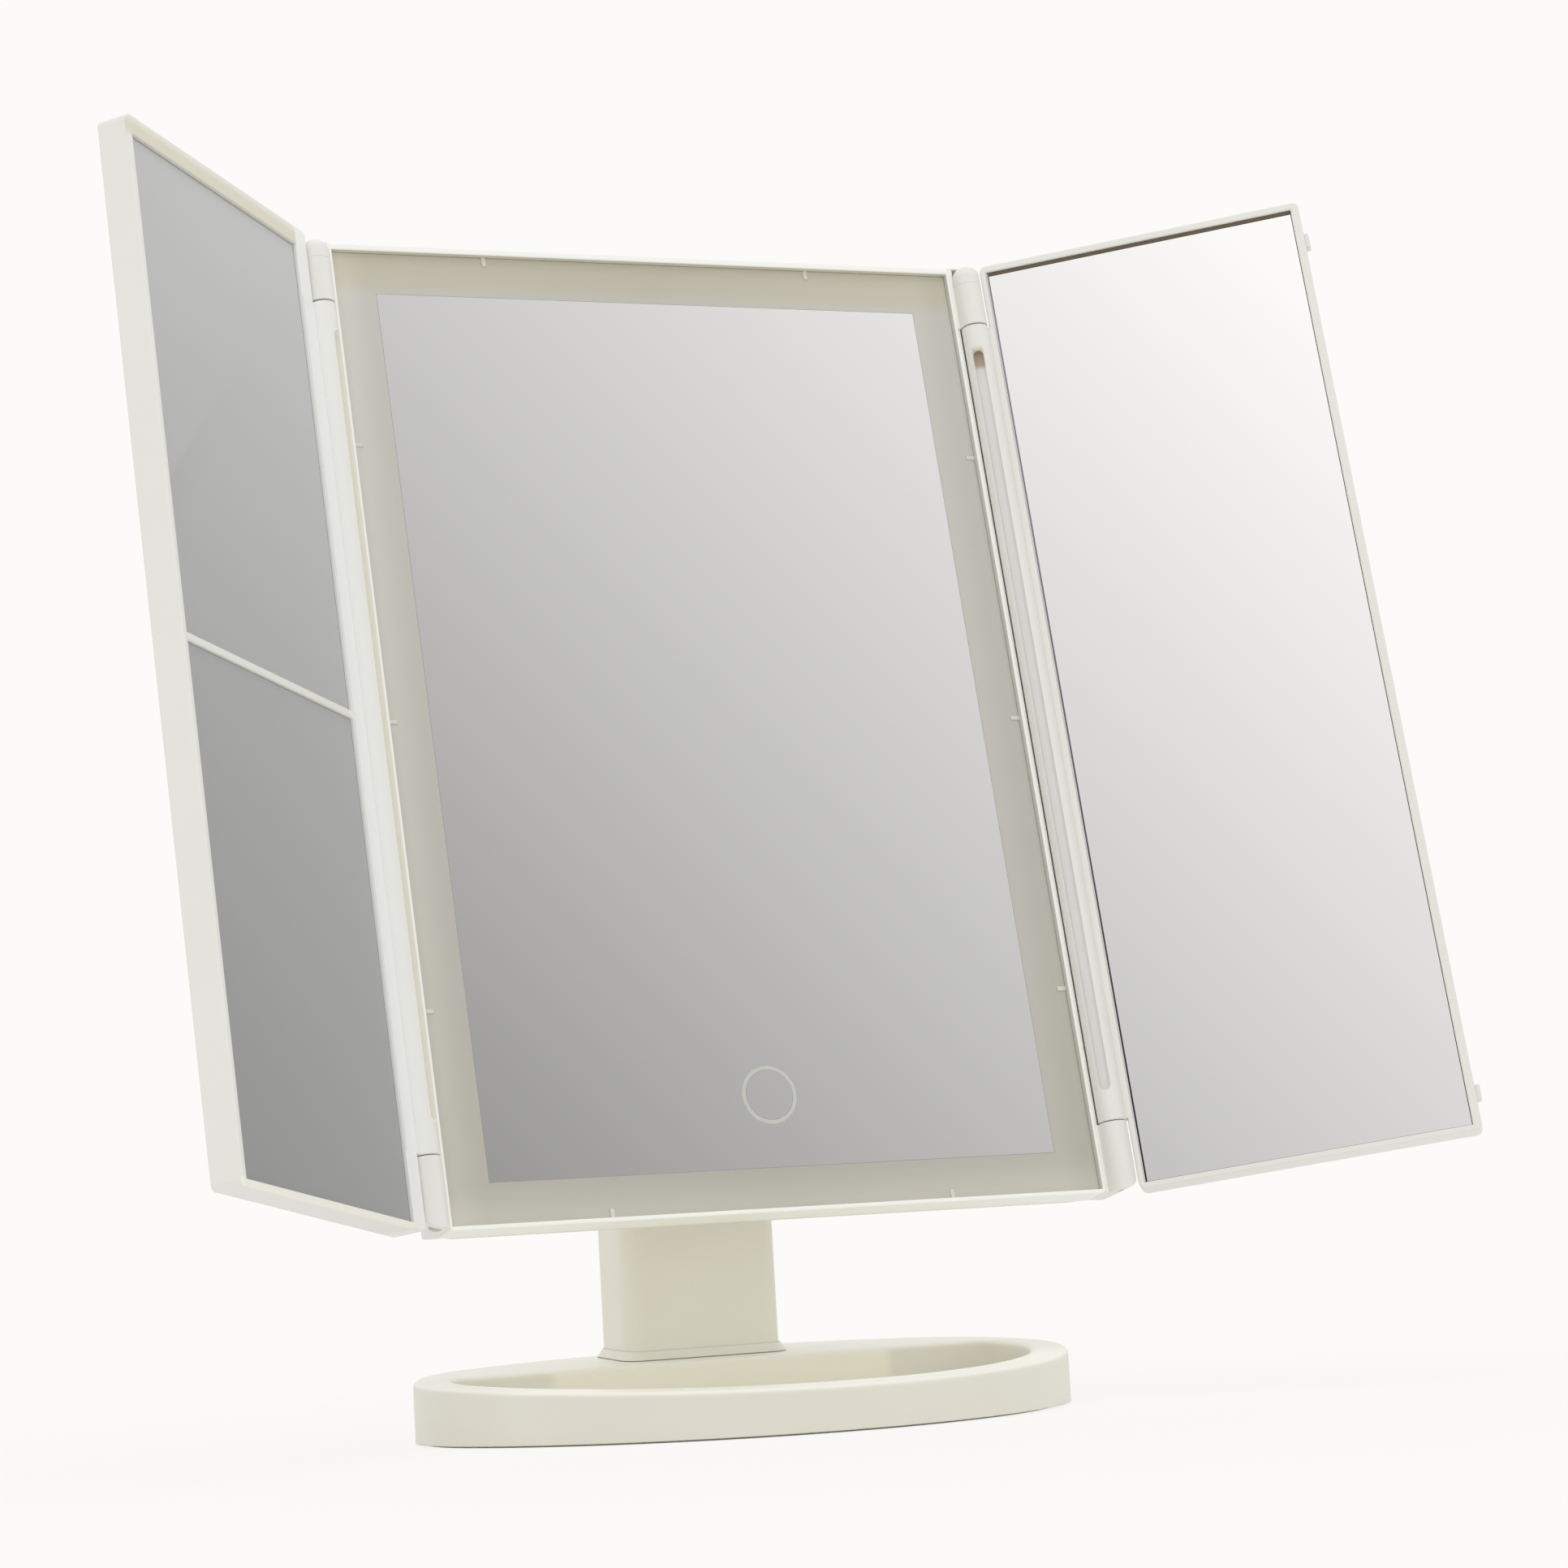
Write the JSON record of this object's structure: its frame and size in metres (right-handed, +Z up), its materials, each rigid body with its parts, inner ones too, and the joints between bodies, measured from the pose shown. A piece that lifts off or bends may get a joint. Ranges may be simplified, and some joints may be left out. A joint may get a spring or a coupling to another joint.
{
  "type": "trifold vanity mirror",
  "caption": "Lighted trifold make-up mirror: framed centre mirror with frosted light border, folding side mirrors, tilt stand and oval tray base.",
  "frame": {"origin": "middle of the base's footprint, on the surface it stands on", "axes": "+X to the viewer's right, +Y to the back, +Z up; the mirrors face -Y"},
  "size_m": [0.3121, 0.1327, 0.292],
  "materials": {
    "cream_plastic": "soft satin",
    "warm_plastic": "soft satin",
    "frosted_panel": "frosted translucent",
    "mirror_glass": "silvered",
    "ring_ink": "satin",
    "soft_pad": "matte",
    "tape": "matte foam",
    "steel": "zinc plated",
    "coated_steel": "matte black",
    "acetal": "matte",
    "white_reflector": "matte white",
    "circuit": "matte green",
    "lamp": "gloss",
    "cell_can": "printed sleeve",
    "wire_skin": "satin"
  },
  "bodies": {
    "stand": {"base_tray": "warm_plastic", "base_bottom_plate": "coated_steel", "non_slip_pad": "soft_pad", "base_plate_screws": "steel", "base_weights": "steel", "neck_column": "warm_plastic", "neck_screws": "steel", "neck_core": "steel", "neck_collar": "warm_plastic", "tilt_bushes": "acetal", "friction_washers": "acetal"},
    "head": {"head_frame": "cream_plastic", "hinge_caps": "cream_plastic", "lower_hinge_pins": "steel", "upper_hinge_pins": "steel", "diffuser_panel": "frosted_panel", "centre_mirror": "mirror_glass", "touch_ring": "ring_ink", "mirror_tape": "tape", "touch_sensor": "circuit", "panel_clips": "ring_ink", "light_tray": "white_reflector", "light_strips": "circuit", "light_diodes": "lamp", "rear_cover": "cream_plastic", "rear_cover_screws": "steel", "switch_body": "coated_steel", "control_board": "circuit", "power_inlet": "steel", "wires": "wire_skin", "battery_tray": "white_reflector", "battery_cells": "cell_can", "battery_contacts": "steel", "tilt_bracket": "cream_plastic", "bracket_screws": "steel", "tilt_shaft": "steel", "tilt_nut": "steel"},
    "left_wing": {"left_wing_frame": "cream_plastic", "left_wing_back": "cream_plastic", "left_upper_mirror": "mirror_glass", "left_lower_mirror": "mirror_glass", "left_mirror_tape": "tape", "left_hinge_bushes": "acetal"},
    "right_wing": {"right_wing_frame": "cream_plastic", "right_wing_back": "cream_plastic", "right_mirror": "mirror_glass", "right_mirror_tape": "tape", "right_hinge_bushes": "acetal", "closing_nubs": "cream_plastic"},
    "power_switch": {"power_switch": "warm_plastic"},
    "battery_door": {"battery_door": "cream_plastic"}
  },
  "joints": [
    {"name": "head_tilt", "type": "hinge", "parent": "stand", "child": "head", "pos_m": [0, 0.0404, 0.128], "axis": [1, 0, 0], "range_deg": [-32.7, 15.3]},
    {"name": "left_wing_hinge", "type": "hinge", "parent": "head", "child": "left_wing", "pos_m": [-0.0858, 0.00513, 0.16435], "axis": [0, 0.213, 0.977], "range_deg": [-43.7, 136.3]},
    {"name": "right_wing_hinge", "type": "hinge", "parent": "head", "child": "right_wing", "pos_m": [0.0858, 0.00513, 0.16435], "axis": [0, -0.213, -0.977], "range_deg": [-33.9, 146.1]},
    {"name": "switch_slide", "type": "slide", "parent": "head", "child": "power_switch", "axis": [1, 0, 0], "range_m": [0, 0.003]},
    {"name": "battery_door_slide", "type": "slide", "parent": "head", "child": "battery_door", "axis": [0, 0.213, 0.977], "range_m": [0, 0.008]}
  ]
}
